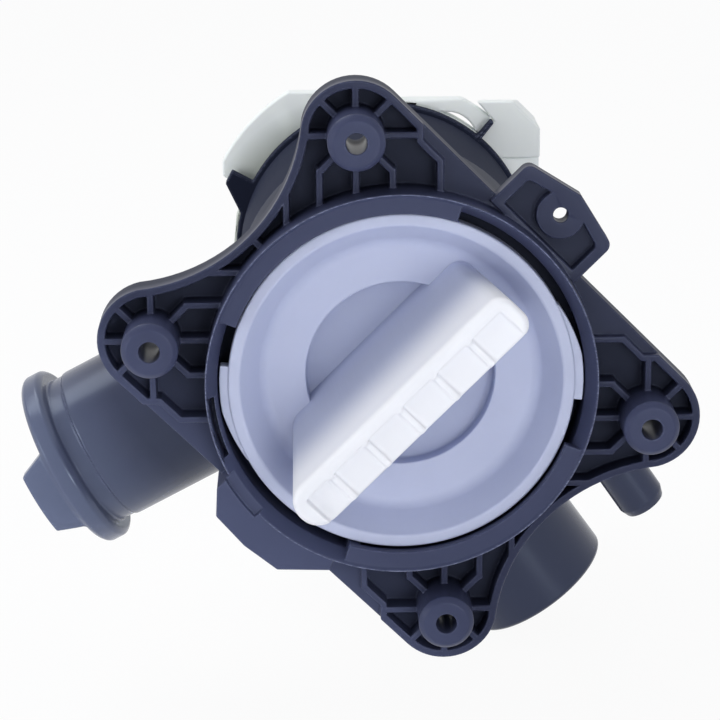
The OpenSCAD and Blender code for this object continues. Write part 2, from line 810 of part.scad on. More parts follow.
// Stiffening block with flat sides at the lower left of the neck
module neck_block() {
    step = block_sweep / 20;
    outer = neck_ro + block_reach;
    slab(neck_front + ramp_inset, back_y) polygon(concat(
        [polar(neck_mid, block_start), polar(neck_ro + block_reach / 2, block_start + step)],
        [for (k = [4, 9, 14]) polar(outer, block_start + k * step)],
        [polar(neck_ro + block_reach / 3, block_start + block_sweep)],
        [for (k = [20, 13, 7]) polar(neck_mid, block_start + k * step)]
    ));
}

// Slot in the neck above the stiffening block, and the step in the block's front below it
module neck_slot() {
    slab(neck_front - eps, neck_front + slot_depth) intersection() {
        ring_outline(neck_ro - slot_edge, neck_ro - slot_edge - slot_w);
        wedge(block_start - slot_space - slot_sweep, block_start - slot_space);
    }
    slab(neck_front - eps, neck_front + step_depth) intersection() {
        ring_outline(neck_ro + step_out, chamber_r);
        wedge(block_start, block_start + step_sweep);
    }
}

// Ramps that hold the lugs after the cap is turned, each with a stop
module ramps() opposite() {
    slab(ramp_y, lug_y - ramp_room) intersection() {
        ring_outline(ramp_ro, ramp_ri);
        wedge(stop_at - stop_sweep, stop_at + ramp_sweep);
    }
    slab(ramp_y, shoulder_y + eps) intersection() {
        ring_outline(ramp_ro, ramp_ri);
        wedge(stop_at - stop_sweep, stop_at);
    }
}

// Rails that keep the basket from turning
module rails() opposite() translate([-rail_w / 2, rail_y, chamber_r - rail_h])
    cube([rail_w, casing_front - rail_y, rail_h + chamber_wall / 2]);

module filter_housing() color(dark) {
    difference() {
        union() {
            turned() polygon([
                [0, neck_front], [neck_ro, neck_front], [neck_ro, shoulder_y + shoulder_t],
                [chamber_ro, shoulder_y + 2 * shoulder_t], [chamber_ro, casing_front], [0, casing_front]
            ]);
            flange();
            neck_block();
            bracket_lug();
            at_bosses() boss();
        }
        rod(neck_r, neck_front - eps, shoulder_y);
        turned() polygon([
            [0, neck_front - lead_depth], [neck_r + 2 * lead_w, neck_front - lead_depth],
            [neck_r - lead_w, neck_front + 2 * lead_depth], [0, neck_front + 2 * lead_depth]
        ]);
        rod(chamber_r, shoulder_y - eps, casing_front + eps);
        neck_slot();
        at_bosses() rod(boss_hole_d / 2, -eps, back_y + eps);
        inlet_frame() along_x(inlet_d / 2 - inlet_wall, 0, inlet_reach);
        nipple_frame() along_x(nipple_d / 2 - nipple_wall, 0, nipple_reach);
    }
    ramps();
    rails();
}

module pump_casing() color(dark) difference() {
    rod(chamber_ro, casing_front, motor_y);
    rod(chamber_r, casing_front + divider_t, motor_y + eps);
    rod(eye_d / 2, casing_front - eps, motor_y);
    outlet_frame() along_x(outlet_d / 2 - outlet_wall, 0, outlet_reach);
}

module inlet_spigot() color(dark) difference() {
    inlet_frame() {
        pipe_r = inlet_d / 2;
        bore = pipe_r - inlet_wall;
        bead_r = bead_d / 2;
        bead_end = inlet_reach + bead_len;
        turned_x() polygon([
            [bore, 0], [pipe_r, 0], [pipe_r, inlet_reach - neck_groove_w],
            [pipe_r - neck_groove_cut, inlet_reach - neck_groove_w + neck_groove_cut],
            [pipe_r - neck_groove_cut, inlet_reach], [bead_r - bead_round, inlet_reach],
            [bead_r, inlet_reach + bead_round], [bead_r, bead_end - bead_round],
            [bead_r - bead_round, bead_end], [bore, bead_end]
        ]);
        tongue(bead_r - bead_round, bead_end);
    }
    rod(chamber_ro, -far, far);
}

// Trapezoid tongue that carries on from the front side of the bead
module tongue(r, start) intersection() {
    difference() {
        along_x(r, start - eps, start + tongue_len);
        along_x(r - tongue_t, start - 2 * eps, start + tongue_len + eps);
    }
    translate([start, 0, tongue_side]) rotate([90, 0, 0]) linear_extrude(bead_d) polygon([
        [-eps, -tongue_root_w / 2], [tongue_len + eps, -tongue_tip_w / 2],
        [tongue_len + eps, tongue_tip_w / 2], [-eps, tongue_root_w / 2]
    ]);
}

// A hose pipe with a stop ring behind its seat and a cut edge at its end
module hose_pipe(r, wall, reach, seat, edge, lead) turned_x() polygon([
    [r - wall, 0], [r, 0], [r, reach - seat - stop_w], [r + stop_rise, reach - seat - stop_w],
    [r + stop_rise, reach - seat], [r, reach - seat], [r, reach - lead], [r - edge, reach], [r - wall, reach]
]);

module outlet_spigot() color(dark) difference() {
    outlet_frame() hose_pipe(outlet_d / 2, outlet_wall, outlet_reach, outlet_seat, outlet_edge, outlet_edge);
    rod(chamber_ro, -far, far);
}

module vent_nipple() color(dark) difference() {
    nipple_frame()
        hose_pipe(nipple_d / 2, nipple_wall, nipple_reach, nipple_seat, nipple_chamfer, nipple_lead);
    rod(chamber_ro, -far, far);
}

// Grip: a bar that widens and shortens towards the dish, with finger pockets open to one side
module grip() rotate([0, -grip_angle, 0]) {
    top = rim_y - grip_rise;
    slope = (grip_base_w - grip_front_w) / 2 / grip_rise;
    dish_base = dish_y + cap_wall / 2;
    recess_base = recess_y + cap_wall / 2;
    difference() {
        union() {
            intersection() {
                grip_section(top, dish_base, slope, 0);
                grip_side(top, dish_base);
                grip_nose(top, dish_base, slope);
            }
            intersection() {
                grip_section(rim_y, recess_base, slope, grip_foot);
                rod(recess_r + cap_wall / 2, rim_y, recess_base);
            }
        }
        for (i = [0:grip_pockets - 1])
            translate([(i - grip_pockets / 2) * grip_pitch + grip_rib / 2, top - eps, -grip_base_w])
                cube([
                    grip_pitch - grip_rib, grip_pocket_depth + eps,
                    grip_base_w - grip_front_w / 2 + grip_pocket_w
                ]);
    }
}

function grip_half(y, slope) = grip_front_w / 2 + slope * (y - rim_y + grip_rise);

// Cross-section of the grip, drawn out along it
module grip_section(y0, y1, slope, inset) translate([-grip_len / 2, 0, 0]) rotate([90, 0, 90])
    linear_extrude(grip_len) polygon([
        [y0, -grip_half(y0, slope) + inset], [y1, -grip_half(y1, slope) + inset],
        [y1, grip_half(y1, slope) - inset], [y0, grip_half(y0, slope) - inset]
    ]);

// Side of the grip, drawn out across it
module grip_side(y0, y1) translate([0, 0, -grip_base_w]) linear_extrude(2 * grip_base_w) polygon([
    [-grip_len / 2, y0], [grip_len / 2, y0],
    [(grip_len - grip_taper) / 2, y1], [-(grip_len - grip_taper) / 2, y1]
]);

// Front of the grip, with round ends
module grip_nose(y0, y1, slope) slab(y0 - eps, y1 + eps) {
    r = grip_half(y1, slope) + eps;
    square([grip_len - 2 * r, 2 * r], center = true);
    for (s = [-1, 1]) translate([s * (grip_len / 2 - r), 0]) circle(r);
}

module filter_cap() color(pale) {
    turned() polygon([
        [0, recess_y], [recess_r, recess_y], [recess_r, dish_y], [dish_r, dish_y],
        [cap_r - rim_w, rim_y], [cap_r, rim_y], [cap_r, lug_end], [skirt_r, lug_end],
        [skirt_r, seal_groove_y], [seal_groove_r, seal_groove_y],
        [seal_groove_r, seal_groove_end], [skirt_r, seal_groove_end],
        [skirt_r, skirt_y], [skirt_ri, skirt_y], [skirt_ri, dish_y + cap_wall],
        [recess_r + cap_wall, dish_y + cap_wall], [recess_r + cap_wall, recess_y + cap_wall],
        [stem_r, recess_y + cap_wall], [stem_r, head_y], [stem_r + stem_head, head_y],
        [stem_r + stem_head, head_y + stem_head_t], [0, head_y + stem_head_t]
    ]);
    opposite() slab(lug_y, lug_end) intersection() {
        ring_outline(lug_r, cap_r - eps);
        wedge(lug_start, lug_start + lug_sweep);
    }
    grip();
}

module cap_seal() color(rubber) translate([0, seal_groove_y + seal_slack + seal_d / 2, 0]) turned()
    translate([seal_mid, 0]) circle(d = seal_d);

module lint_basket() color(pale) difference() {
    union() {
        rod(plate_r, plate_y, plate_end);
        rod(basket_r, plate_end - eps, basket_end);
    }
    rod(basket_r - basket_wall, plate_end, basket_end + eps);
    rod(stem_r + stem_room, plate_y - eps, plate_end + eps);
    opposite() translate([-rail_w / 2 - rail_room, plate_y - eps, chamber_r - rail_h - rail_room])
        cube([rail_w + 2 * rail_room, plate_t + 2 * eps, 2 * rail_h]);
    for (i = [0:basket_slots - 1]) rotate([0, i * 360 / basket_slots, 0])
        translate([basket_r / 2, plate_end + basket_band, -basket_slot_w / 2])
            cube([basket_r, basket_len - plate_t - 2 * basket_band, basket_slot_w]);
}

module motor_flange() color(dark) difference() {
    union() {
        rod(lip_r, motor_y, flange_back);
        rod(chamber_r - register_room, register_y, motor_y + eps);
        rod(can_ro, motor_y, can_end);
        opposite() slab(motor_y, flange_back) rotate(hook_angle) polygon([
            [lip_r - flange_seal_w, 0], [lip_r + hook_reach, 0], [lip_r + hook_reach, hook_w],
            [lip_r - flange_seal_w, hook_w + hook_run]
        ]);
        rotate([0, -latch_angle, 0]) translate([lip_r - flange_seal_w, motor_y, -fin_t / 2])
            cube([fin_reach + flange_seal_w, lip_t, fin_t]);
    }
    pipe_ring(chamber_r, flange_seal_ri, flange_seal_y, flange_seal_y + flange_seal_w);
    pipe_ring(chamber_r - 2 * plate_wall, can_ro + can_wall, register_y + plate_wall, flange_back + eps);
    pipe_ring(can_ri, hub_ro, register_y + plate_wall, hub_back + eps);
    rod(can_ri, hub_back, rear_bush_y);
    rod(bush_r, rear_bush_y - eps, rear_bush_end);
    rod(bush_r, shaft_seal_y, hub_back + eps);
    rod(shaft_r + shaft_gap, register_y - eps, shaft_seal_y + eps);
}

module flange_seal() color(rubber)
    pipe_ring(chamber_r - flange_seal_room, flange_seal_ri, flange_seal_y, flange_seal_y + flange_seal_w);

module shaft_seal() color(rubber) pipe_ring(bush_r, shaft_r + shaft_gap, shaft_seal_y, front_bush_y);

module front_bearing() color(brass) pipe_ring(bush_r, shaft_r + shaft_room, front_bush_y, hub_back);

module rear_bearing() color(brass) pipe_ring(bush_r, shaft_r + shaft_room, rear_bush_y, rear_bush_end);

module rotor_shaft() color(steel) rod(shaft_r, shaft_tip, shaft_tail);

module rotor_magnet() color(rubber) pipe_ring(magnet_r, shaft_r, magnet_y, magnet_end);

module thrust_washer() color(steel) pipe_ring(shaft_r + washer_w, shaft_r, magnet_y - washer_t, magnet_y);

// Tooth of the driver, or of the stop that it meets
module tooth(ro, ri, a, y0, y1) slab(y0, y1) intersection() {
    ring_outline(ro, ri);
    wedge(a - dog_sweep / 2, a + dog_sweep / 2);
}

module drive_dog() color(brass) {
    pipe_ring(collar_r, shaft_r, dog_y, dog_end);
    tooth(dog_r, (shaft_r + collar_r) / 2, 180, dog_y, dog_end);
}

module impeller_clip() color(steel) pipe_ring(shaft_r + clip_w, shaft_r, clip_end - clip_t, clip_end);

module impeller() color(pale) {
    difference() {
        union() {
            rod(impeller_r, impeller_back - disc_t, impeller_back);
            rod(hub_r, impeller_front, impeller_back);
            for (i = [0:vanes - 1]) rotate([0, i * 360 / vanes, 0])
                translate([hub_r - vane_t, impeller_front + hub_rise, -vane_t / 2])
                    cube([impeller_r - hub_r, blade_h - hub_rise + eps, vane_t]);
        }
        rod(cavity_r, cavity_y, impeller_back + eps);
        rod(shaft_r + shaft_room, impeller_front - eps, impeller_back);
    }
    tooth((cavity_r + hub_r) / 2, collar_r + dog_room, 0, cavity_y - eps, impeller_back);
}

module stator_core() color(steel) difference() {
    slab(stack_y, stack_end) difference() {
        translate([-core_half, -core_bottom]) square([core_w, core_bottom + core_top]);
        translate([-core_half + leg_w, -core_bottom + leg_w])
            square([core_w - 2 * leg_w, core_bottom + core_top]);
        circle(pole_ri);
    }
    at_core_screws() rod(screw_hole_r, stack_y - eps, stack_end + eps);
}

module at_core_screws() for (s = [-1, 1], p = screw_spots) at([s * p.x, p.y]) children();

// A rectangular loop round both legs, between two heights
module leg_loops(inner, outer, z0, z1) for (s = [-1, 1]) translate([s * leg_mid, stack_mid, z0])
    linear_extrude(z1 - z0) difference() {
        square([leg_w + 2 * outer, stack_len + 2 * outer], center = true);
        square([leg_w + 2 * inner, stack_len + 2 * inner], center = true);
    }

module coil_bobbins() color(ivory) {
    leg_loops(bobbin_room, spool, bobbin_low, bobbin_high);
    leg_loops(bobbin_room, spool + winding_t, bobbin_low, bobbin_low + bobbin_wall);
    leg_loops(bobbin_room, spool + winding_t, bobbin_high - bobbin_wall, bobbin_high);
}

module coil_windings() color(copper)
    leg_loops(spool, spool + winding_t - bobbin_room, bobbin_low + bobbin_wall, bobbin_high - bobbin_wall);

module core_screws() color(steel) at_core_screws() {
    rod(screw_r, frame_end - screw_bite, stack_end + eps);
    rod(screw_head_d / 2, stack_end, stack_end + screw_head_h);
}

// Frame outline: a round upper left corner, the latch arm and the place of the connector
module frame_outline() intersection() {
    circle(corner_r);
    polygon(concat(
        [[frame_half, -frame_half + frame_corner], [frame_half, socket_z], [socket_x, socket_z]],
        [polar(lip_r, latch_angle)],
        arc([0, 0], latch_r, latch_angle, arm_end),
        [[arm_root, arm_top], [arm_root, frame_top], [-corner_side, frame_top]],
        [[-corner_side, corner_side * tan(180 - corner_end)]],
        [for (i = [0:2]) polar(side_r, corner_end + (180 - corner_end) * i / 2)],
        [[-side_r, -frame_half + frame_corner], [-frame_half + frame_corner, -frame_half]],
        [[frame_half - frame_corner, -frame_half]]
    ));
}

// Crescent slit between the lip and the latch arm
module slit_outline() difference() {
    translate(polar(slit_ri + latch_slit - slit_bow, slit_mid)) circle(slit_bow);
    circle(slit_ri);
}

// Bars across the frame that end in the screw ears
module ear_bars() for (z = [ear_high, ear_low]) translate([-cover_half - ear_w, -z - ear_len / 2])
    square([2 * (cover_half + ear_w), ear_len]);

module motor_frame() color(ivory) difference() {
    union() {
        intersection() {
            slab(frame_y, frame_end) frame_outline();
            turned() polygon([
                [0, frame_y], [front_r, frame_y], [frame_half + frame_corner, frame_end], [0, frame_end]
            ]);
        }
        slab(frame_y, frame_end) {
            translate([-cover_half, -cover_bottom])
                square([2 * cover_half, cover_bottom - frame_half + frame_corner]);
            ear_bars();
        }
        at_core_screws() rod(screw_r + post_wall, frame_end - eps, stack_y);
    }
    rod(can_ro + frame_room, frame_y - eps, frame_end + eps);
    slab(frame_y - eps, frame_end + eps) slit_outline();
    at_core_screws() rod(screw_r, frame_end - screw_bite, stack_y + eps);
    at_cover_screws() rod(screw_r, frame_end - screw_bite, frame_end + eps);
}

module at_cover_screws() for (s = [-1, 1], z = [ear_high, ear_low]) at([s * ear_mid, -z]) children();

// Cover outline: a box with cut corners
module cover_outline(inset) polygon([
    [-cover_half + inset, -cover_bottom + cover_corner], [-cover_half + cover_corner, -cover_bottom + inset],
    [cover_half - cover_corner, -cover_bottom + inset], [cover_half - inset, -cover_bottom + cover_corner],
    [cover_half - inset, cover_top - cover_corner], [cover_half - cover_corner, cover_top - inset],
    [-cover_half + cover_corner, cover_top - inset], [-cover_half + inset, cover_top - cover_corner]
]);

module motor_cover() color(ivory) difference() {
    union() {
        slab(frame_end, cover_end) cover_outline(0);
        slab(frame_end, frame_end + ear_t) ear_bars();
    }
    slab(frame_end - eps, cover_end - cover_wall) cover_outline(cover_wall);
    at_cover_screws() rod(screw_hole_r, frame_end - eps, frame_end + ear_t + eps);
    for (i = [0:vent_count - 1])
        translate([-vent_len / 2, cover_end - 2 * cover_wall, (i - vent_count + 0.5) * vent_pitch])
            cube([vent_len, 3 * cover_wall, vent_w]);
}

module cover_screws() color(steel) at_cover_screws() {
    rod(screw_r, frame_end - screw_bite, frame_end + ear_t + eps);
    rod(screw_head_d / 2, frame_end + ear_t, frame_end + ear_t + screw_head_h);
}

module socket_outline() polygon([
    [socket_x, socket_z], [frame_half, socket_z], [frame_half, socket_top - socket_corner],
    [frame_half - socket_corner, socket_top], [latch_r * cos(arm_end) + notch_w, socket_top],
    polar(latch_r, latch_angle - latch_gap), polar(lip_r, latch_angle - latch_gap)
]);

// What is taken off the connector block where its top falls towards the mouth
module socket_slope() rotate([90, 0, 90]) linear_extrude(frame_half + eps) polygon([
    [frame_y + socket_level, socket_top], [frame_y + socket_level + socket_len, socket_top - socket_fall],
    [frame_y + socket_level + socket_len, socket_top + eps], [frame_y + socket_level, socket_top + eps]
]);

module connector_socket() color(ivory) difference() {
    slab(frame_y, frame_y + socket_len) socket_outline();
    socket_slope();
    translate([cavity_x0, frame_y + socket_floor, cavity_z0])
        cube([cavity_x1 - cavity_x0, socket_len, cavity_z1 - cavity_z0]);
}

module terminal_tabs() color(brass) for (s = [-1, 1])
    translate([
        (cavity_x0 + cavity_x1 - blade_w + s * blade_pitch) / 2, frame_y + socket_floor,
        (cavity_z0 + cavity_z1 - blade_t) / 2
    ])
        cube([blade_w, socket_len - socket_floor - blade_inset, blade_t]);

filter_housing();
pump_casing();
inlet_spigot();
outlet_spigot();
vent_nipple();
filter_cap();
cap_seal();
lint_basket();
motor_flange();
flange_seal();
shaft_seal();
front_bearing();
rear_bearing();
rotor_shaft();
rotor_magnet();
thrust_washer();
drive_dog();
impeller_clip();
impeller();
stator_core();
coil_bobbins();
coil_windings();
core_screws();
motor_frame();
motor_cover();
cover_screws();
connector_socket();
terminal_tabs();
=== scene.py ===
import bmesh
import bpy
import json
import math
from mathutils import Matrix, Vector

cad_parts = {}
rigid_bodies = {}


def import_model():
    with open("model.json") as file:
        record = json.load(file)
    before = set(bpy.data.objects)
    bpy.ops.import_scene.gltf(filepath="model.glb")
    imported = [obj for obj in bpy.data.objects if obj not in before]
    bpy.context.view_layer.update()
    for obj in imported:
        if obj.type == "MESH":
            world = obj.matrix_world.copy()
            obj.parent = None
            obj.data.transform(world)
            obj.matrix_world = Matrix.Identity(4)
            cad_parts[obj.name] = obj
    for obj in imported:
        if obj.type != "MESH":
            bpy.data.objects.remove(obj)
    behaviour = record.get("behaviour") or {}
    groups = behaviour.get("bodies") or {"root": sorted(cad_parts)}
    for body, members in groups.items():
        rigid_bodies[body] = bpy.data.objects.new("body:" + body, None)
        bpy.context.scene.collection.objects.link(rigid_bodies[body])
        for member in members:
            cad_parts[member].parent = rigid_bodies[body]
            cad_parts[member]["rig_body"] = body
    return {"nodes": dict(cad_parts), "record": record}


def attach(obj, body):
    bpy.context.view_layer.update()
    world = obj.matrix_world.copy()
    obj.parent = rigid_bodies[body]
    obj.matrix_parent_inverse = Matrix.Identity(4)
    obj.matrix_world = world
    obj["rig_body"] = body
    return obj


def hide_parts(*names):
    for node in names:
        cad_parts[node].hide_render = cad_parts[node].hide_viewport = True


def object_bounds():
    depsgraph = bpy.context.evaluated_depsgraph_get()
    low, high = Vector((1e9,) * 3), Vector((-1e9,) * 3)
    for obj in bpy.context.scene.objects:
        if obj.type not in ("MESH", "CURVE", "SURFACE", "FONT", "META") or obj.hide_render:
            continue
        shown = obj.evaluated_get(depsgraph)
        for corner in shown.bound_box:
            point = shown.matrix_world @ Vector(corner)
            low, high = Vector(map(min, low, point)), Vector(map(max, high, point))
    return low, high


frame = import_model()
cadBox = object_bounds()
nodes = frame["nodes"]
mm = 0.001
print("pump: frame loaded,", len(nodes), "nodes")


# Shader wiring

class Wire:
    def __init__(self, tree, socket=None):
        self.tree = tree
        self.socket = socket

    def plug(self, target, value):
        if isinstance(value, Wire):
            self.tree.links.new(value.socket, target)
        else:
            target.default_value = value

    # any node: its settings first, then its sockets by name or place
    def make(self, kind, settings=None, sockets=None, out=0):
        node = self.tree.nodes.new(kind)
        for key, value in (settings or {}).items():
            if key == "stops":
                fillRamp(node.color_ramp, value)
            else:
                setattr(node, key, value)
        for key, value in (sockets or {}).items():
            self.plug(node.inputs[key], value)
        return Wire(self.tree, node.outputs[out])

    def maths(self, operation, a, b):
        return self.make("ShaderNodeMath", {"operation": operation}, {0: a, 1: b})

    def __add__(self, other):
        return self.maths("ADD", self, other)

    def __radd__(self, other):
        return self.maths("ADD", other, self)

    def __sub__(self, other):
        return self.maths("SUBTRACT", self, other)

    def __rsub__(self, other):
        return self.maths("SUBTRACT", other, self)

    def __mul__(self, other):
        return self.maths("MULTIPLY", self, other)

    def __rmul__(self, other):
        return self.maths("MULTIPLY", other, self)

    def __truediv__(self, other):
        return self.maths("DIVIDE", self, other)

    def __rtruediv__(self, other):
        return self.maths("DIVIDE", other, self)

    def clamped(self):
        return self.make("ShaderNodeClamp", {}, {0: self})


def fillRamp(ramp, stops):
    while len(ramp.elements) < len(stops):
        ramp.elements.new(1.0)
    for element, (place, value) in zip(ramp.elements, stops):
        element.position = place
        element.color = (value, value, value, 1.0)


def startMaterial(name):
    material = bpy.data.materials.new(name)
    material.use_nodes = True
    material.node_tree.nodes.clear()
    return material, Wire(material.node_tree)


def finishMaterial(bench, surface, constants):
    shader = bench.make("ShaderNodeBsdfPrincipled", {}, {**constants, **surface})
    output = bench.tree.nodes.new("ShaderNodeOutputMaterial")
    bench.tree.links.new(shader.socket, output.inputs["Surface"])


def objectPlace(bench):
    return bench.make("ShaderNodeTexCoord", out="Object")


def noiseAt(bench, place, size, detail=3.0, rough=0.55):
    return bench.make("ShaderNodeTexNoise", {}, {
        "Vector": place, "Scale": 1.0 / size, "Detail": detail, "Roughness": rough})


def ramped(wire, *stops):
    return wire.make("ShaderNodeValToRGB", {"stops": stops}, {"Fac": wire})


def blendColour(bench, factor, first, second):
    return bench.make("ShaderNodeMix", {"data_type": "RGBA"}, {0: factor, 6: first, 7: second}, out=2)


def stretched(bench, place, scale, turn=(0.0, 0.0, 0.0)):
    return bench.make("ShaderNodeMapping", {}, {"Vector": place, "Rotation": turn, "Scale": scale})


# how far a point lies inside an outer edge, from the rounded normal there
def edgeMask(bench, reach):
    rounded = bench.make("ShaderNodeBevel", {"samples": 6}, {"Radius": reach})
    plain = bench.make("ShaderNodeNewGeometry", out="Normal")
    return ramped(1.0 - alongWay(bench, rounded, plain), (0.02, 0.0), (0.24, 1.0))


def bumped(bench, height, strength, depth, below=None):
    sockets = {"Height": height, "Strength": strength, "Distance": depth}
    if below is not None:
        sockets["Normal"] = below
    return bench.make("ShaderNodeBump", {}, sockets)


# how far a place lies along a direction
def alongWay(bench, place, way):
    return bench.make("ShaderNodeVectorMath", {"operation": "DOT_PRODUCT"}, {0: place, 1: way}, out="Value")


# how far back a place lies, along the filter axis
def depthOf(bench, place):
    return alongWay(bench, place, (0.0, 1.0, 0.0))


# 0 before the start, 1 after the end
def risen(wire, start, end):
    return ((wire - start) / (end - start)).clamped()


def colour(red, green, blue):
    return (red, green, blue, 1.0)


# Finishes

darkLook = {
    "body": colour(0.027, 0.031, 0.066), "bloom": colour(0.031, 0.036, 0.074),
    # painted light, paler on the faces that stand furthest forward
    "front": colour(0.046, 0.053, 0.104), "frontFrom": 7.8 * mm, "frontTo": 3 * mm,
    # painted shade, darker where a surface lies further back, in pockets and recesses
    "deep": colour(0.016, 0.019, 0.038), "deepFrom": 8.2 * mm, "deepTo": 11.5 * mm, "deepRough": 0.25,
    # painted sheen: the pale floor's light reflected on the lower-left side
    "lowSheen": colour(0.072, 0.084, 0.155), "lowSheenWay": (-0.707, 0.0, -0.707),
    "lowSheenFrom": 27 * mm, "lowSheenTo": 47 * mm, "lowSheenEnd": 11 * mm,
    # scuffed edges, which also stand for painted edge highlights
    "scuffAndHighlight": colour(0.250, 0.278, 0.410), "scuffAndHighlightShare": 0.75, "edge": 0.7 * mm,
    "scratch": 2.5 * mm, "scratchStretch": (1.0, 1.0, 6.0), "scratchTurn": (0.4, 0.2, 0.9),
    "roughness": 0.32, "roughSwing": 0.16, "specular": 0.15, "tint": colour(0.82, 0.90, 1.0),
    "grain": 0.35 * mm, "grainDepth": 0.012 * mm, "grainStrength": 0.35, "grainRough": 0.06,
    "flow": 9 * mm, "flowStretch": (1.0, 0.25, 1.0), "waveStrength": 0.12, "waveDepth": 0.12 * mm,
}
# the spigots came out of the mould smoother
glossLook = {
    **darkLook,
    # a slight painted shade further back on the spigots
    "deep": colour(0.024, 0.028, 0.062), "deepFrom": 40 * mm, "deepTo": 60 * mm, "deepRough": 0.0,
    # a stronger painted sheen of the floor's light on the lower-left side
    "lowSheen": colour(0.150, 0.178, 0.285), "lowSheenWay": (-0.8, 0.0, -0.6),
    "lowSheenFrom": 58 * mm, "lowSheenTo": 92 * mm, "lowSheenEnd": 200 * mm, "scuffAndHighlightShare": 0.45,
    "roughness": 0.24, "roughSwing": 0.10, "specular": 0.48, "tint": colour(0.70, 0.82, 1.0),
}
# what lies behind the flange is matt, with painted shade that darkens it further back and stronger painted
# edge highlights
mattLook = {
    **darkLook,
    "deep": colour(0.018, 0.022, 0.042), "deepFrom": 0.0, "deepTo": 40 * mm, "edge": 1.0 * mm,
    "roughness": 0.50, "specular": 0.06, "scuffAndHighlightShare": 0.9,
}


# dark plastic with painted shade that darkens it further back, painted light on its foremost faces, a painted
# sheen of the floor's light on the lower-left side, and scuffed edges that also stand for painted edge
# highlights
def darkPlastic(name, look):
    material, bench = startMaterial(name)
    place = objectPlace(bench)
    flow = noiseAt(bench, stretched(bench, place, look["flowStretch"]), look["flow"], 4.0)
    grain = noiseAt(bench, place, look["grain"], 2.0)
    smear = noiseAt(bench, place, 3 * look["flow"], 5.0, 0.65)
    edge = edgeMask(bench, look["edge"])
    drawn = stretched(bench, place, look["scratchStretch"], look["scratchTurn"])
    scratch = noiseAt(bench, drawn, look["scratch"], 4.0, 0.7)
    # scuffed edges that also paint edge highlights
    scuffAndHighlight = (edge * ramped(scratch, (0.42, 0.15), (0.62, 1.0)) * look["scuffAndHighlightShare"]).clamped()
    # painted sheen, paler towards the lower left and fading out further back
    lowSheen = risen(alongWay(bench, place, look["lowSheenWay"]), look["lowSheenFrom"], look["lowSheenTo"])
    depth = depthOf(bench, place)
    # painted light on the foremost faces
    front = risen(depth, look["frontFrom"], look["frontTo"])
    # painted shade: darker the further back a surface lies
    deep = risen(depth, look["deepFrom"], look["deepTo"])
    pastLowSheen = risen(depth, look["lowSheenEnd"], 2 * look["lowSheenEnd"])
    tone = blendColour(bench, ramped(flow, (0.35, 0.0), (0.7, 1.0)), look["body"], look["bloom"])
    tone = blendColour(bench, front, tone, look["front"])
    tone = blendColour(bench, deep, tone, look["deep"])
    tone = blendColour(bench, lowSheen * (1.0 - pastLowSheen) * (0.75 + 0.5 * smear), tone, look["lowSheen"])
    tone = blendColour(bench, scuffAndHighlight, tone, look["scuffAndHighlight"])
    roughness = look["roughness"] + (smear - 0.5) * look["roughSwing"] + (grain - 0.5) * look["grainRough"]
    roughness = roughness + deep * look["deepRough"]
    wave = bumped(bench, flow, look["waveStrength"], look["waveDepth"])
    normal = bumped(bench, grain, look["grainStrength"], look["grainDepth"], wave)
    finishMaterial(bench, {"Base Color": tone, "Roughness": roughness.clamped(), "Normal": normal},
                   {"IOR": 1.5, "Specular IOR Level": look["specular"], "Specular Tint": look["tint"]})
    return material


paleLook = {
    "body": colour(0.470, 0.510, 0.680), "bloom": colour(0.495, 0.535, 0.705),
    # painted highlight that whitens the grip towards its front
    "gripHighlight": colour(0.830, 0.840, 0.880),
    "roughness": 0.40, "roughSwing": 0.10,
    "grain": 0.30 * mm, "grainDepth": 0.010 * mm, "grainStrength": 0.25,
    # painted shade on the grip, from a little above the dish to where the painted highlight starts
    "slope": colour(0.460, 0.495, 0.630), "slopeFrom": 15 * mm, "slopeTo": 8 * mm,
    "flow": 14 * mm, "streak": 0.45 * mm, "streakStretch": (1.0, 0.03, 0.03), "streakTurn": math.radians(45),
    "streakStrength": 0.30, "streakDepth": 0.05 * mm, "streakRough": 0.20,
    "gripHighlightFrom": 3 * mm, "gripHighlightTo": -14 * mm,
    # painted shade on the floor of the central recess
    "recess": colour(0.375, 0.415, 0.580), "recessFrom": 13.2 * mm, "recessTo": 15.8 * mm,
}


# pale plastic, with painted shade in the recess; on the grip, painted shade a little above the dish and a
# painted highlight that whitens it where it stands out at the front
def palePlastic(name, look, gripped=False):
    material, bench = startMaterial(name)
    place = objectPlace(bench)
    flow = noiseAt(bench, place, look["flow"], 4.0)
    grain = noiseAt(bench, place, look["grain"], 2.0)
    tone = blendColour(bench, ramped(flow, (0.35, 0.0), (0.7, 1.0)), look["body"], look["bloom"])
    normal = bumped(bench, grain, look["grainStrength"], look["grainDepth"])
    roughness = look["roughness"] + (flow - 0.5) * look["roughSwing"]
    depth = depthOf(bench, place)
    # painted shade in the central recess
    tone = blendColour(bench, risen(depth, look["recessFrom"], look["recessTo"]), tone, look["recess"])
    if gripped:
        # painted highlight, whiter where the grip stands out at the front
        front = risen(depth, look["gripHighlightFrom"], look["gripHighlightTo"])
        # painted shade on the grip a little above the dish
        tone = blendColour(bench, risen(depth, look["slopeFrom"], look["slopeTo"]), tone, look["slope"])
        tone = blendColour(bench, front * front * (3.0 - 2.0 * front), tone, look["gripHighlight"])
        turned = stretched(bench, place, (1.0, 1.0, 1.0), (0.0, look["streakTurn"], 0.0))
        lines = noiseAt(bench, stretched(bench, turned, look["streakStretch"]), look["streak"], 3.0, 0.6)
        normal = bumped(bench, lines, look["streakStrength"], look["streakDepth"], normal)
        roughness = roughness + (lines - 0.5) * look["streakRough"]
    finishMaterial(bench, {"Base Color": tone, "Roughness": roughness.clamped(), "Normal": normal},
                   {"IOR": 1.49, "Subsurface Weight": 0.12, "Subsurface Scale": 0.002,
                    "Subsurface Radius": (1.0, 0.9, 0.9)})
    return material


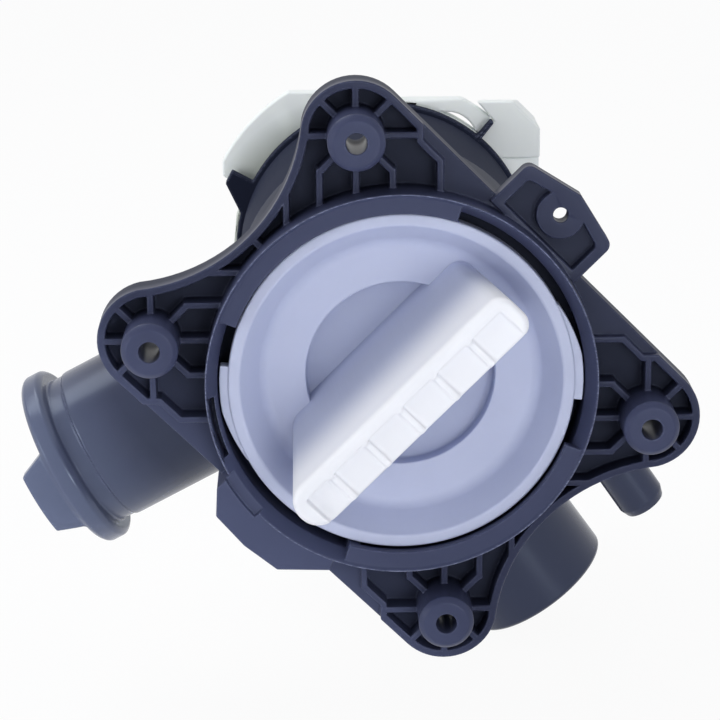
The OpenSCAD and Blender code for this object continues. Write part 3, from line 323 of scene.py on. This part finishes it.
ivoryLook = {
    "body": colour(0.880, 0.925, 0.905), "bloom": colour(0.905, 0.950, 0.940),
    # painted shade on the frame's front near the shaft, stopping behind the front plane
    "inner": colour(0.560, 0.600, 0.540), "innerFrom": 41.5 * mm, "innerTo": 35.5 * mm,
    "innerMiddle": (-4 * mm, 0.0, -3 * mm), "innerDepth": 126 * mm, "innerEnd": 130 * mm,
    "roughness": 0.42, "roughSwing": 0.12, "flow": 12 * mm, "flowStretch": (1.0, 0.4, 1.0),
    "grain": 0.40 * mm, "grainDepth": 0.015 * mm, "grainStrength": 0.30, "grainRough": 0.05,
}


# ivory plastic, with painted shade that darkens the frame's front towards the shaft, centred a little to the
# lower left
def ivoryPlastic(name, look):
    material, bench = startMaterial(name)
    place = objectPlace(bench)
    flow = noiseAt(bench, stretched(bench, place, look["flowStretch"]), look["flow"], 4.0)
    grain = noiseAt(bench, place, look["grain"], 2.0)
    apart = bench.make("ShaderNodeVectorMath", {"operation": "SUBTRACT"}, {0: place, 1: look["innerMiddle"]})
    flat = stretched(bench, apart, (1.0, 0.0, 1.0))
    reach = bench.make("ShaderNodeVectorMath", {"operation": "LENGTH"}, {0: flat}, out="Value")
    tone = blendColour(bench, ramped(flow, (0.3, 0.0), (0.7, 1.0)), look["body"], look["bloom"])
    behind = risen(depthOf(bench, place), look["innerDepth"], look["innerEnd"])
    inner = risen(reach, look["innerFrom"], look["innerTo"]) * (1.0 - behind)
    tone = blendColour(bench, inner, tone, look["inner"])
    roughness = look["roughness"] + (flow - 0.5) * look["roughSwing"] + (grain - 0.5) * look["grainRough"]
    normal = bumped(bench, grain, look["grainStrength"], look["grainDepth"])
    finishMaterial(bench, {"Base Color": tone, "Roughness": roughness.clamped(), "Normal": normal},
                   {"IOR": 1.5, "Subsurface Weight": 0.15, "Subsurface Scale": 0.003,
                    "Subsurface Radius": (1.0, 1.0, 0.8)})
    return material


rubberLook = {
    "body": colour(0.018, 0.018, 0.020), "dust": colour(0.060, 0.060, 0.062), "dustSize": 6 * mm,
    "roughness": 0.62, "roughSwing": 0.3, "grain": 0.5 * mm, "grainDepth": 0.03 * mm, "grainStrength": 0.5,
}


def sealRubber(name, look):
    material, bench = startMaterial(name)
    place = objectPlace(bench)
    dust = noiseAt(bench, place, look["dustSize"], 5.0, 0.65)
    grain = noiseAt(bench, place, look["grain"], 3.0)
    tone = blendColour(bench, ramped(dust, (0.5, 0.0), (0.75, 0.6)), look["body"], look["dust"])
    roughness = look["roughness"] + (dust - 0.5) * look["roughSwing"]
    normal = bumped(bench, grain, look["grainStrength"], look["grainDepth"])
    finishMaterial(bench, {"Base Color": tone, "Roughness": roughness.clamped(), "Normal": normal},
                   {"IOR": 1.52})
    return material


metalLooks = {
    "steel": {"body": colour(0.56, 0.57, 0.59), "stain": colour(0.42, 0.42, 0.43), "roughness": 0.28,
              "lines": (1.0, 0.05, 1.0), "size": 0.25 * mm},
    "lamination": {"body": colour(0.30, 0.30, 0.32), "stain": colour(0.16, 0.15, 0.15), "roughness": 0.42,
                   "lines": (0.02, 1.0, 0.02), "size": 0.5 * mm},
    "magnet": {"body": colour(0.075, 0.075, 0.080), "stain": colour(0.05, 0.05, 0.052), "roughness": 0.55,
               "lines": (1.0, 1.0, 1.0), "size": 0.4 * mm},
    "brass": {"body": colour(0.72, 0.53, 0.24), "stain": colour(0.50, 0.34, 0.14), "roughness": 0.30,
              "lines": (1.0, 0.08, 1.0), "size": 0.3 * mm},
    "copper": {"body": colour(0.66, 0.28, 0.11), "stain": colour(0.45, 0.16, 0.06), "roughness": 0.30,
               "lines": (0.04, 0.04, 1.0), "size": 0.45 * mm},
}


metalWear = {
    "stainSize": 5 * mm, "stainRough": 0.12, "lineRough": 0.22, "lineStrength": 0.25, "lineDepth": 0.02 * mm,
}


def bareMetal(name, look, wear):
    material, bench = startMaterial(name)
    place = objectPlace(bench)
    lines = noiseAt(bench, stretched(bench, place, look["lines"]), look["size"], 3.0, 0.6)
    stain = noiseAt(bench, place, wear["stainSize"], 5.0, 0.6)
    tone = blendColour(bench, ramped(stain, (0.45, 0.0), (0.75, 1.0)), look["body"], look["stain"])
    roughness = look["roughness"] + (lines - 0.5) * wear["lineRough"] + (stain - 0.5) * wear["stainRough"]
    normal = bumped(bench, lines, wear["lineStrength"], wear["lineDepth"])
    finishMaterial(bench, {"Base Color": tone, "Roughness": roughness.clamped(), "Normal": normal},
                   {"Metallic": 1.0})
    return material


finishes = {
    "dark_plastic": darkPlastic("moulded_dark", darkLook),
    "dark_gloss": darkPlastic("moulded_dark_gloss", glossLook),
    "dark_matt": darkPlastic("moulded_dark_matt", mattLook),
    "pale_plastic": palePlastic("moulded_pale", paleLook),
    "pale_grip": palePlastic("moulded_pale_grip", paleLook, gripped=True),
    "ivory_plastic": ivoryPlastic("moulded_ivory", ivoryLook),
    "rubber": sealRubber("seal_rubber", rubberLook),
    **{slot: bareMetal("bare_" + slot, look, metalWear) for slot, look in metalLooks.items()},
}
print("pump:", len(finishes), "finishes made")


# Pieces copied from the frame, with soft moulded edges

def addPiece(name, bm, body, finish, standsFor):
    mesh = bpy.data.meshes.new(name)
    bm.to_mesh(mesh)
    bm.free()
    piece = bpy.data.objects.new(name, mesh)
    bpy.context.scene.collection.objects.link(piece)
    mesh.materials.append(finishes[finish])
    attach(piece, body)
    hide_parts(standsFor)
    return piece


# welding distance and the angles, in degrees, of what counts as flat and as an edge
copying = {"weld": 0.002 * mm, "flat": 0.6, "sharp": 28}


def cleanCopy(node):
    bm = bmesh.new()
    bm.from_mesh(nodes[node].data)
    bmesh.ops.remove_doubles(bm, verts=bm.verts, dist=copying["weld"])
    bmesh.ops.dissolve_limit(bm, angle_limit=math.radians(copying["flat"]), verts=bm.verts, edges=bm.edges)
    bmesh.ops.connect_verts_concave(bm, faces=bm.faces)
    return bm


def sharpEdges(bm, angle):
    limit = math.radians(angle)
    return [edge for edge in bm.edges if len(edge.link_faces) == 2 and edge.calc_face_angle(0.0) > limit]


def soften(bm, edges, width, steps):
    bmesh.ops.bevel(bm, geom=edges, offset=width, offset_type="OFFSET", segments=steps, profile=0.5,
                    affect="EDGES", clamp_overlap=False, loop_slide=False)


def shadeSmooth(piece, angle=50):
    for polygon in piece.data.polygons:
        polygon.use_smooth = True
    piece.data.set_sharp_from_angle(angle=math.radians(angle))
    weighted = piece.modifiers.new("flatFaces", "WEIGHTED_NORMAL")
    weighted.keep_sharp = True
    weighted.weight = 80


def bodyOf(node):
    return nodes[node]["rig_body"]


copied = {
    "filter_housing": {"finish": "dark_plastic", "width": 0.28 * mm, "steps": 2},
    "pump_casing": {"finish": "dark_matt", "width": 0.4 * mm, "steps": 2},
    "inlet_spigot": {"finish": "dark_gloss", "width": 0.45 * mm, "steps": 3},
    "outlet_spigot": {"finish": "dark_gloss", "width": 0.4 * mm, "steps": 3},
    "vent_nipple": {"finish": "dark_gloss", "width": 0.3 * mm, "steps": 2},
    "motor_flange": {"finish": "dark_matt", "width": 0.3 * mm, "steps": 2},
    "lint_basket": {"finish": "pale_plastic", "width": 0.3 * mm, "steps": 2},
    "impeller": {"finish": "pale_plastic", "width": 0.3 * mm, "steps": 2},
    "motor_frame": {"finish": "ivory_plastic", "width": 0.6 * mm, "steps": 3},
    "motor_cover": {"finish": "ivory_plastic", "width": 0.5 * mm, "steps": 3},
    "connector_socket": {"finish": "ivory_plastic", "width": 0.5 * mm, "steps": 3},
}
slotOf = {part["node"]: part["material_slot"] for part in frame["record"]["subparts"]}
for node, look in copied.items():
    shell = cleanCopy(node)
    soften(shell, sharpEdges(shell, copying["sharp"]), look["width"], look["steps"])
    piece = addPiece(node + "_moulded", shell, bodyOf(node), look["finish"], node)
    shadeSmooth(piece)
print("pump:", len(copied), "moulded pieces")


# Filter cap: a turned dish, two lugs and the grip

# radius and depth of each corner of the half section, with its rounding
capLook = {
    "section": [
        (0.0, 16.0, 0.0), (19.3, 16.0, 0.5), (19.3, 12.5, 0.35), (28.2, 12.5, 3.0), (32.6, 5.3, 0.8),
        (35.0, 5.3, 0.5), (35.0, 8.9, 0.3), (32.4, 8.9, 0.2), (32.4, 18.8, 0.2), (29.75, 18.8, 0.2),
        (29.75, 22.1, 0.2), (32.4, 22.1, 0.2), (32.4, 23.7, 0.3), (27.95, 23.7, 0.3), (27.95, 14.3, 0.4),
        (21.1, 14.3, 0.4), (21.1, 17.8, 0.4), (8.0, 17.8, 0.4), (8.0, 26.9, 0.2), (9.4, 26.9, 0.2),
        (9.4, 28.9, 0.4), (0.0, 28.9, 0.0),
    ],
    "turns": 192, "roundSteps": 5,
    "lugIn": 34.3, "lugOut": 36.7, "lugFront": 5.9, "lugBack": 8.9, "lugFrom": -6.5, "lugTo": 27.0,
    "lugTaperFrom": 9.0, "lugTip": 35.2, "lugSteps": 24,
    "lugRound": 0.25 * mm, "lugRoundSteps": 3, "lugSharp": 40, "smooth": 60,
}


def roundedSection(corners, steps):
    points = []
    for i, (r, y, radius) in enumerate(corners):
        here = Vector((r, y))
        if radius == 0.0:
            points.append(here)
            continue
        before = (Vector(corners[i - 1][:2]) - here).normalized()
        after = (Vector(corners[i + 1][:2]) - here).normalized()
        half = before.angle(after) / 2
        middle = here + (before + after).normalized() * radius / math.sin(half)
        first = here + before * radius / math.tan(half) - middle
        last = here + after * radius / math.tan(half) - middle
        sweep = first.angle_signed(last)
        for k in range(steps + 1):
            turned = first.copy()
            turned.rotate(Matrix.Rotation(-sweep * k / steps, 2))
            points.append(middle + turned)
    return points


def turnedSolid(points, turns):
    bm = bmesh.new()
    rings = []
    for r, y in points:
        if r < 1e-6:
            rings.append([bm.verts.new((0.0, y * mm, 0.0))])
        else:
            angles = [2 * math.pi * k / turns for k in range(turns)]
            rings.append([bm.verts.new((r * mm * math.cos(a), y * mm, r * mm * math.sin(a))) for a in angles])
    for near, far in zip(rings, rings[1:]):
        for k in range(turns):
            after = k + 1
            corners = [near[k % len(near)], near[after % len(near)], far[after % len(far)], far[k % len(far)]]
            bm.faces.new(list(dict.fromkeys(corners)))  # a ring at the axis is one point
    bmesh.ops.recalc_face_normals(bm, faces=bm.faces)
    return bm


def lugSolid(look):
    bm = bmesh.new()
    for half in (0.0, 180.0):
        columns = []
        for k in range(look["lugSteps"] + 1):
            along = look["lugFrom"] + (look["lugTo"] - look["lugFrom"]) * k / look["lugSteps"]
            thin = max(0.0, along - look["lugTaperFrom"]) / (look["lugTo"] - look["lugTaperFrom"])
            out = look["lugOut"] + (look["lugTip"] - look["lugOut"]) * thin
            a = math.radians(half + along)
            columns.append([bm.verts.new((r * mm * math.cos(a), y * mm, r * mm * math.sin(a)))
                            for r, y in ((look["lugIn"], look["lugFront"]), (out, look["lugFront"]),
                                         (out, look["lugBack"]), (look["lugIn"], look["lugBack"]))])
        for near, far in zip(columns, columns[1:]):
            for k in range(4):
                bm.faces.new((near[k], near[(k + 1) % 4], far[(k + 1) % 4], far[k]))
        bm.faces.new(columns[0][::-1])
        bm.faces.new(columns[-1])
    bmesh.ops.recalc_face_normals(bm, faces=bm.faces)
    return bm


gripLook = {
    "turn": 45.0, "front": -17.0, "back": 16.9, "rim": 5.3, "frontWidth": 9.5, "rimWidth": 16.0,
    "frontLength": 61.0, "dish": 13.4, "taper": 9.0, "frontRound": 1.3, "roundSteps": 6,
    "corner": 3.4, "lowCorner": 4.6, "lowCut": 1.2, "cornerSteps": 10, "levels": 8,
    "pockets": 6, "pitch": 9.4, "rib": 1.4, "pocketWidth": 6.8, "pocketDepth": 2.1, "lowStop": 1.9,
    "slotWidth": 6.3, "slotDepth": 1.3, "cutAbove": 2.0, "voxel": 0.26 * mm, "smoothing": 8, "smooth": 180,
}


def gripPlace(look, u, v, y):
    a = math.radians(look["turn"])
    return Vector((u * math.cos(a) - v * math.sin(a), y, u * math.sin(a) + v * math.cos(a))) * mm


def gripRing(look, y, inset):
    slope = (look["rimWidth"] - look["frontWidth"]) / 2 / (look["rim"] - look["front"])
    wide = look["frontWidth"] / 2 + slope * (y - look["front"]) - inset
    drawnIn = look["taper"] / 2 * (y - look["front"]) / (look["dish"] - look["front"])
    long = look["frontLength"] / 2 - drawnIn - inset
    ring = []
    for su, sv, start in ((1, 1, 0), (-1, 1, 90), (-1, -1, 180), (1, -1, 270)):
        end = long if su > 0 else long - look["lowCut"]
        bend = min(wide, (look["corner"] if su > 0 else look["lowCorner"]) - inset * 0.5)
        for k in range(look["cornerSteps"] + 1):
            a = math.radians(start + 90 * k / look["cornerSteps"])
            u = su * (end - bend) + bend * math.cos(a)
            v = sv * (wide - bend) + bend * math.sin(a)
            ring.append(gripPlace(look, u, v, y))
    return ring


def gripSolid(look):
    rings = []
    for k in range(look["roundSteps"] + 1):
        a = math.radians(90 * k / look["roundSteps"])
        drop = look["frontRound"] * (1 - math.sin(a))
        rings.append(gripRing(look, look["front"] + drop, look["frontRound"] * (1 - math.cos(a))))
    rings.reverse()
    deep = look["front"] + look["frontRound"]
    for k in range(1, look["levels"] + 1):
        rings.append(gripRing(look, deep + (look["back"] - deep) * k / look["levels"], 0.0))
    bm = bmesh.new()
    loops = [[bm.verts.new(point) for point in ring] for ring in rings]
    for near, far in zip(loops, loops[1:]):
        for k in range(len(near)):
            bm.faces.new((near[k], near[(k + 1) % len(near)], far[(k + 1) % len(far)], far[k]))
    bm.faces.new(loops[0])
    bm.faces.new(loops[-1])
    bmesh.ops.recalc_face_normals(bm, faces=bm.faces)
    return bm


# six pockets, joined by a shallower slot that leaves low ribs between them
def pocketCutters(look):
    first = -look["pockets"] / 2 * look["pitch"] + look["rib"] / 2
    cuts = [(first + look["lowStop"], look["pockets"] * look["pitch"] - look["rib"] - look["lowStop"],
             look["slotWidth"], look["slotDepth"])]
    for i in range(look["pockets"]):
        short = look["lowStop"] if i == 0 else 0.0
        cuts.append((first + i * look["pitch"] + short, look["pitch"] - look["rib"] - short,
                     look["pocketWidth"], look["pocketDepth"]))
    tools = []
    for u, length, width, depth in cuts:
        bm = bmesh.new()
        corners = [bm.verts.new(gripPlace(look, u + du, v, y)) for du in (0.0, length)
                   for v in (-look["rimWidth"], width - look["frontWidth"] / 2)
                   for y in (look["front"] - look["cutAbove"], look["front"] + depth)]
        for side in ((0, 1, 3, 2), (4, 6, 7, 5), (0, 4, 5, 1), (2, 3, 7, 6), (0, 2, 6, 4), (1, 5, 7, 3)):
            bm.faces.new([corners[k] for k in side])
        bmesh.ops.recalc_face_normals(bm, faces=bm.faces)
        tools.append(bm)
    return tools


def looseObject(name, bm):
    mesh = bpy.data.meshes.new(name)
    bm.to_mesh(mesh)
    bm.free()
    loose = bpy.data.objects.new(name, mesh)
    bpy.context.scene.collection.objects.link(loose)
    return loose


# cuts one solid from another, then remeshes and smooths what is left
def carved(solid, cutters, voxel, smoothing):
    blank = looseObject("blank", solid)
    tools = [looseObject("tool", cutter) for cutter in cutters]
    for tool in tools:
        cut = blank.modifiers.new("cut", "BOOLEAN")
        cut.operation = "DIFFERENCE"
        cut.solver = "EXACT"
        cut.object = tool
    even = blank.modifiers.new("even", "REMESH")
    even.mode = "VOXEL"
    even.voxel_size = voxel
    soft = blank.modifiers.new("soft", "SMOOTH")
    soft.factor = 0.5
    soft.iterations = smoothing
    bpy.context.view_layer.update()
    shaped = blank.evaluated_get(bpy.context.evaluated_depsgraph_get())
    bm = bmesh.new()
    bm.from_mesh(shaped.to_mesh())
    shaped.to_mesh_clear()
    for loose in (blank, *tools):
        mesh = loose.data
        bpy.data.objects.remove(loose)
        bpy.data.meshes.remove(mesh)
    return bm


def addCapPiece(name, bm, finish, angle):
    piece = addPiece(name, bm, bodyOf("filter_cap"), finish, "filter_cap")
    shadeSmooth(piece, angle)


dish = turnedSolid(roundedSection(capLook["section"], capLook["roundSteps"]), capLook["turns"])
addCapPiece("cap_dish", dish, "pale_plastic", capLook["smooth"])
lugs = lugSolid(capLook)
soften(lugs, sharpEdges(lugs, capLook["lugSharp"]), capLook["lugRound"], capLook["lugRoundSteps"])
addCapPiece("cap_lugs", lugs, "pale_plastic", capLook["smooth"])
grip = carved(gripSolid(gripLook), pocketCutters(gripLook), gripLook["voxel"], gripLook["smoothing"])
addCapPiece("cap_grip", grip, "pale_grip", gripLook["smooth"])
print("pump: filter cap shaped")

for node, cad in nodes.items():
    if node not in copied and node != "filter_cap":
        cad.data.materials.clear()
        cad.data.materials.append(finishes[slotOf[node]])


# Studio

studio = {
    "floorDrop": 0.2 * mm, "floorSize": 8.0, "floorTone": colour(0.86, 0.87, 0.90), "floorLift": 0.94,
    "worldTone": colour(0.93, 0.95, 1.0), "worldStrength": 0.50,
    "lamps": [
        {"name": "keyFrontRight", "place": (0.30, -0.88, -0.03), "aim": (0.0, 0.0, 0.0),
         "size": 0.4, "watts": 3.7, "spread": 180},
        {"name": "topSoftbox", "place": (-0.36, 0.22, 0.62), "aim": (0.0, 0.05, 0.0),
         "size": 0.5, "watts": 2.5, "spread": 180},
        {"name": "leftFill", "place": (-0.80, -0.42, 0.06), "aim": (0.0, 0.0, 0.0),
         "size": 0.5, "watts": 2.2, "spread": 180},
        # lights the floor in front of the pump and not the pump itself
        {"name": "floorBounce", "place": (0.04, -0.50, 0.50), "aim": (0.04, -0.44, -0.09),
         "size": 0.25, "watts": 1.2, "spread": 40},
    ],
}


def aimed(place, aim):
    return (Vector(aim) - Vector(place)).to_track_quat("-Z", "Y")


def addLamp(settings):
    data = bpy.data.lights.new(settings["name"], "AREA")
    data.shape = "SQUARE"
    data.size = settings["size"]
    data.energy = settings["watts"]
    data.spread = math.radians(settings["spread"])
    lamp = bpy.data.objects.new(settings["name"], data)
    lamp.location = settings["place"]
    lamp.rotation_mode = "QUATERNION"
    lamp.rotation_quaternion = aimed(settings["place"], settings["aim"])
    bpy.context.scene.collection.objects.link(lamp)


def seenDirectly(bench):
    camera = bench.make("ShaderNodeLightPath", out="Is Camera Ray")
    glossy = bench.make("ShaderNodeLightPath", out="Is Glossy Ray")
    through = bench.make("ShaderNodeLightPath", out="Is Transmission Ray")
    return (camera + glossy + through).clamped()


def addFloor(settings):
    half = settings["floorSize"] / 2
    bm = bmesh.new()
    corners = [bm.verts.new((x, y, cadBox[0].z - settings["floorDrop"]))
               for x, y in ((-half, -half), (half, -half), (half, half), (-half, half))]
    bm.faces.new(corners)
    mesh = bpy.data.meshes.new("floor")
    bm.to_mesh(mesh)
    bm.free()
    floor = bpy.data.objects.new("floor", mesh)
    bpy.context.scene.collection.objects.link(floor)
    material, bench = startMaterial("floor_pale")
    matt = bench.make("ShaderNodeBsdfDiffuse", {}, {"Color": settings["floorTone"]})
    glow = bench.make("ShaderNodeEmission", {}, {"Color": colour(1, 1, 1), "Strength": 1.0})
    lift = seenDirectly(bench) * settings["floorLift"]
    mixed = bench.make("ShaderNodeMixShader", {}, {0: lift, 1: matt, 2: glow})
    output = bench.tree.nodes.new("ShaderNodeOutputMaterial")
    bench.tree.links.new(mixed.socket, output.inputs["Surface"])
    mesh.materials.append(material)


def addWorld(settings):
    world = bpy.data.worlds.new("studio")
    bpy.context.scene.world = world
    world.use_nodes = True
    world.node_tree.nodes.clear()
    bench = Wire(world.node_tree)
    soft = bench.make("ShaderNodeBackground", {}, {
        "Color": settings["worldTone"], "Strength": settings["worldStrength"]})
    white = bench.make("ShaderNodeBackground", {}, {"Color": colour(1, 1, 1), "Strength": 1.0})
    mixed = bench.make("ShaderNodeMixShader", {}, {0: seenDirectly(bench), 1: soft, 2: white})
    output = bench.tree.nodes.new("ShaderNodeOutputWorld")
    bench.tree.links.new(mixed.socket, output.inputs["Surface"])


# the photograph's view: aimed at the middle of the boss faces, which lies off the picture's middle
viewpoint = {"distance": 480 * mm, "azimuth": -2.236, "elevation": 17.33, "roll": -0.171,
             "focalPixels": 2412.8, "picture": 720, "targetPixel": (403.08, 391.77), "sensor": 36.0,
             "clipStart": 10 * mm}


def addCamera(settings):
    data = bpy.data.cameras.new("camera")
    data.sensor_width = settings["sensor"]
    data.lens = settings["focalPixels"] / settings["picture"] * settings["sensor"]
    middle = settings["picture"] / 2
    data.shift_x = (middle - settings["targetPixel"][0]) / settings["picture"]
    data.shift_y = (settings["targetPixel"][1] - middle) / settings["picture"]
    data.clip_start = settings["clipStart"]
    camera = bpy.data.objects.new("camera", data)
    a, e = math.radians(settings["azimuth"]), math.radians(settings["elevation"])
    back = Vector((math.sin(a) * math.cos(e), -math.cos(a) * math.cos(e), math.sin(e)))
    turn = (-back).to_track_quat("-Z", "Y").to_matrix().to_4x4()
    roll = Matrix.Rotation(math.radians(settings["roll"]), 4, "Z")
    camera.matrix_world = Matrix.Translation(back * settings["distance"]) @ turn @ roll
    bpy.context.scene.collection.objects.link(camera)
    bpy.context.scene.camera = camera


for lamp in studio["lamps"]:
    addLamp(lamp)
addFloor(studio)
addWorld(studio)
addCamera(viewpoint)
bpy.context.scene.view_settings.view_transform = "Standard"
print("pump: studio ready")
